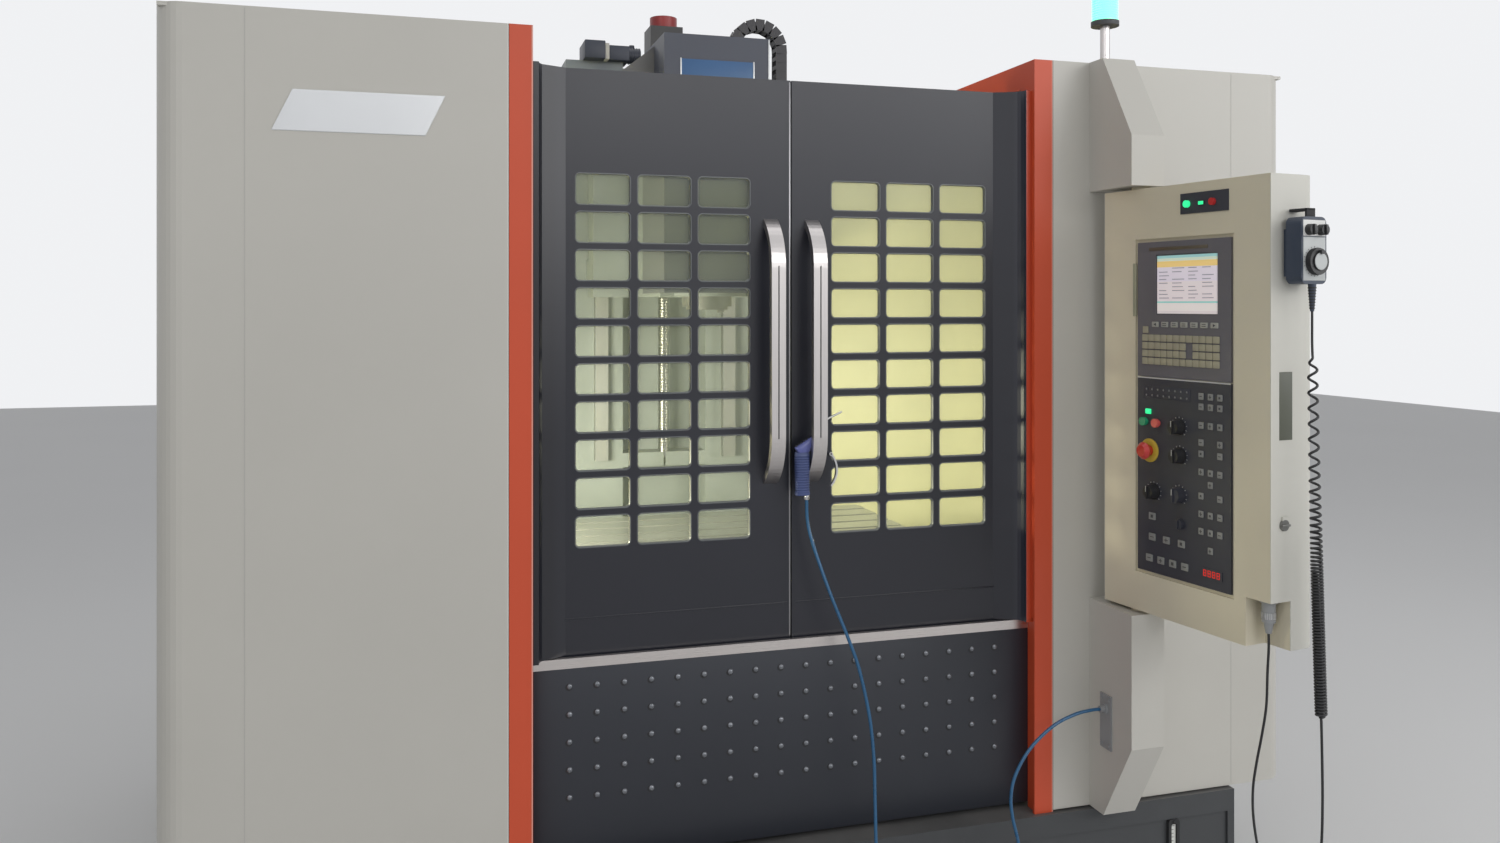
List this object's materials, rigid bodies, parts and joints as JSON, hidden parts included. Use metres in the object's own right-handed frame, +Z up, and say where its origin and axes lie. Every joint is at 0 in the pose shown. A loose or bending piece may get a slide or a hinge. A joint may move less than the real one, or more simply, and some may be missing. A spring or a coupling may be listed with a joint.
{
  "type": "vertical machining center",
  "caption": "Enclosed vertical milling machine with two sliding windowed doors, a swivelling control pendant, a hung hand-wheel with a curly lead and an air gun on its hose.",
  "frame": {"origin": "middle of the bounding box on the floor, without the free cords, at the height of the levelling feet's undersides", "axes": "+X to the operator's right along the front, +Y from the operator into the machine, +Z up"},
  "size_m": [2.7, 2.7348, 2.57],
  "materials": {
    "panel_white": "satin powder coat",
    "trim_orange": "satin powder coat",
    "door_charcoal": "satin powder coat",
    "tank_gray": "textured coat",
    "stainless": "brushed",
    "handle_aluminium": "brushed",
    "window_glass": "clear, lit from inside",
    "casting_gray": "painted casting",
    "rail_steel": "ground",
    "motor_red": "gloss",
    "inner_sheet": "satin",
    "lamp_plastic": "translucent",
    "gauge_black": "smooth",
    "pendant_taupe": "satin",
    "panel_dark": "membrane",
    "screen_glass": "lit display",
    "button_red": "moulded",
    "button_green": "moulded",
    "knob_black": "moulded",
    "mpg_blue": "moulded",
    "lead_black": "smooth",
    "plug_gray": "moulded",
    "hose_blue": "smooth",
    "gun_blue": "moulded",
    "chain_black": "moulded"
  },
  "bodies": {
    "machine": {"bed": "casting_gray", "levelling_feet": "rail_steel", "column": "casting_gray", "guide_rails": "rail_steel", "servo_motors": "motor_red", "left_fascia": "panel_white", "right_fascia": "panel_white", "left_trim": "trim_orange", "right_trim": "trim_orange", "apron": "door_charcoal", "door_sill": "stainless", "top_rail": "tank_gray", "side_walls": "panel_white", "splash_guard": "inner_sheet", "electric_cabinet": "panel_white", "coolant_tank": "tank_gray", "level_gauge": "gauge_black", "upper_bracket": "panel_white", "lower_bracket": "panel_white", "air_socket": "plug_gray", "signal_lamp": "lamp_plastic", "magazine_drum": "inner_sheet", "cable_chain": "chain_black", "air_hose": "hose_blue"},
    "left_door": {"left_door": "door_charcoal", "left_window": "window_glass", "left_handle": "handle_aluminium"},
    "right_door": {"right_door": "door_charcoal", "right_window": "window_glass", "right_handle": "handle_aluminium", "air_gun": "gun_blue"},
    "gun_trigger": {"gun_trigger": "gun_blue"},
    "saddle": {"saddle": "casting_gray"},
    "table": {"table": "casting_gray"},
    "x_screw": {"x_screw": "rail_steel"},
    "y_screw": {"y_screw": "rail_steel"},
    "z_screw": {"z_screw": "rail_steel"},
    "head": {"head": "casting_gray", "head_cover": "tank_gray", "spindle_motor": "motor_red"},
    "spindle": {"spindle": "rail_steel"},
    "tool_disc": {"tool_disc": "rail_steel"},
    "cabinet_door": {"cabinet_door": "panel_white"},
    "pendant": {"pendant_box": "pendant_taupe", "screen_unit": "panel_dark", "screen": "screen_glass", "operator_panel": "panel_dark", "handwheel_box": "mpg_blue", "handwheel_cord": "lead_black", "handwheel_coil": "lead_black", "lead_plug": "plug_gray"},
    "estop": {"estop_button": "button_red"},
    "start": {"start_button": "button_green"},
    "hold": {"hold_button": "button_red"},
    "power_on": {"power_on_button": "button_green"},
    "power_off": {"power_off_button": "button_red"},
    "mode_knob": {"mode_knob": "knob_black"},
    "feed_knob": {"feed_knob": "knob_black"},
    "spindle_knob": {"spindle_knob": "knob_black"},
    "handwheel": {"handwheel": "knob_black"}
  },
  "joints": [
    {"name": "left_door_slide", "type": "slide", "parent": "machine", "child": "left_door", "axis": [-1, 0, 0], "range_m": [0, 0.53]},
    {"name": "right_door_slide", "type": "slide", "parent": "machine", "child": "right_door", "axis": [1, 0, 0], "range_m": [0, 0.53]},
    {"name": "y_axis", "type": "slide", "parent": "machine", "child": "saddle", "axis": [0, 1, 0], "range_m": [-0.275, 0.275]},
    {"name": "x_axis", "type": "slide", "parent": "saddle", "child": "table", "axis": [1, 0, 0], "range_m": [-0.5, 0.5]},
    {"name": "z_axis", "type": "slide", "parent": "machine", "child": "head", "axis": [0, 0, 1], "range_m": [-0.55, 0], "deforming": ["cable_chain"]},
    {"name": "x_screw_spin", "type": "hinge", "parent": "saddle", "child": "x_screw", "pos_m": [0, 0.10756, 0.67], "axis": [1, 0, 0], "continuous": true},
    {"name": "y_screw_spin", "type": "hinge", "parent": "machine", "child": "y_screw", "pos_m": [0, 0.10756, 0.496], "axis": [0, 1, 0], "continuous": true},
    {"name": "z_screw_spin", "type": "hinge", "parent": "machine", "child": "z_screw", "pos_m": [0, 0.74756, 1.5], "axis": [0, 0, 1], "continuous": true},
    {"name": "spindle_spin", "type": "hinge", "parent": "head", "child": "spindle", "pos_m": [0, 0.10756, 1.53], "axis": [0, 0, 1], "continuous": true},
    {"name": "magazine_spin", "type": "hinge", "parent": "machine", "child": "tool_disc", "pos_m": [-0.82, 0.19756, 1.59], "axis": [1, 0, 0], "continuous": true},
    {"name": "cabinet_door_hinge", "type": "hinge", "parent": "machine", "child": "cabinet_door", "pos_m": [1.336, 1.36286, 1.2], "axis": [0, 0, -1], "range_deg": [0, 110]},
    {"name": "pendant_swivel", "type": "hinge", "parent": "machine", "child": "pendant", "pos_m": [0.817, -0.90244, 1.32], "axis": [0, 0, 1], "range_deg": [-15, 80]},
    {"name": "trigger_pull", "type": "hinge", "parent": "right_door", "child": "gun_trigger", "pos_m": [0.0849, -0.74571, 1.1955], "axis": [0, 1, 0], "range_deg": [0, 8], "stiffness_Nm_per_rad": 0.05, "springref_deg": -17.19},
    {"name": "estop_press", "type": "slide", "parent": "pendant", "child": "estop", "axis": [0.9895, 0.1444, 0], "range_m": [0, 0.003], "stiffness_N_per_m": 600, "springref_m": -0.004},
    {"name": "start_press", "type": "slide", "parent": "pendant", "child": "start", "axis": [0.9895, 0.1444, 0], "range_m": [0, 0.003], "stiffness_N_per_m": 300, "springref_m": -0.002},
    {"name": "hold_press", "type": "slide", "parent": "pendant", "child": "hold", "axis": [0.9895, 0.1444, 0], "range_m": [0, 0.003], "stiffness_N_per_m": 300, "springref_m": -0.002},
    {"name": "power_on_press", "type": "slide", "parent": "pendant", "child": "power_on", "axis": [0.9895, 0.1444, 0], "range_m": [0, 0.003], "stiffness_N_per_m": 300, "springref_m": -0.002},
    {"name": "power_off_press", "type": "slide", "parent": "pendant", "child": "power_off", "axis": [0.9895, 0.1444, 0], "range_m": [0, 0.003], "stiffness_N_per_m": 300, "springref_m": -0.002},
    {"name": "mode_knob_turn", "type": "hinge", "parent": "pendant", "child": "mode_knob", "pos_m": [0.80742, -1.05846, 1.269], "axis": [-0.9895, -0.1444, 0], "range_deg": [-120, 120]},
    {"name": "feed_knob_turn", "type": "hinge", "parent": "pendant", "child": "feed_knob", "pos_m": [0.80771, -1.06043, 1.204], "axis": [-0.9895, -0.1444, 0], "range_deg": [-135, 135]},
    {"name": "spindle_knob_turn", "type": "hinge", "parent": "pendant", "child": "spindle_knob", "pos_m": [0.79631, -0.98226, 1.112], "axis": [-0.9895, -0.1444, 0], "range_deg": [-135, 135]},
    {"name": "handwheel_turn", "type": "hinge", "parent": "pendant", "child": "handwheel", "pos_m": [0.9149, -1.34494, 1.634], "axis": [0.1444, -0.9895, 0], "continuous": true}
  ],
  "couplings": [
    {"joint": "x_screw_spin", "follows": "x_axis", "rad_per_m": 628.32},
    {"joint": "y_screw_spin", "follows": "y_axis", "rad_per_m": 628.32},
    {"joint": "z_screw_spin", "follows": "z_axis", "rad_per_m": 628.32}
  ]
}
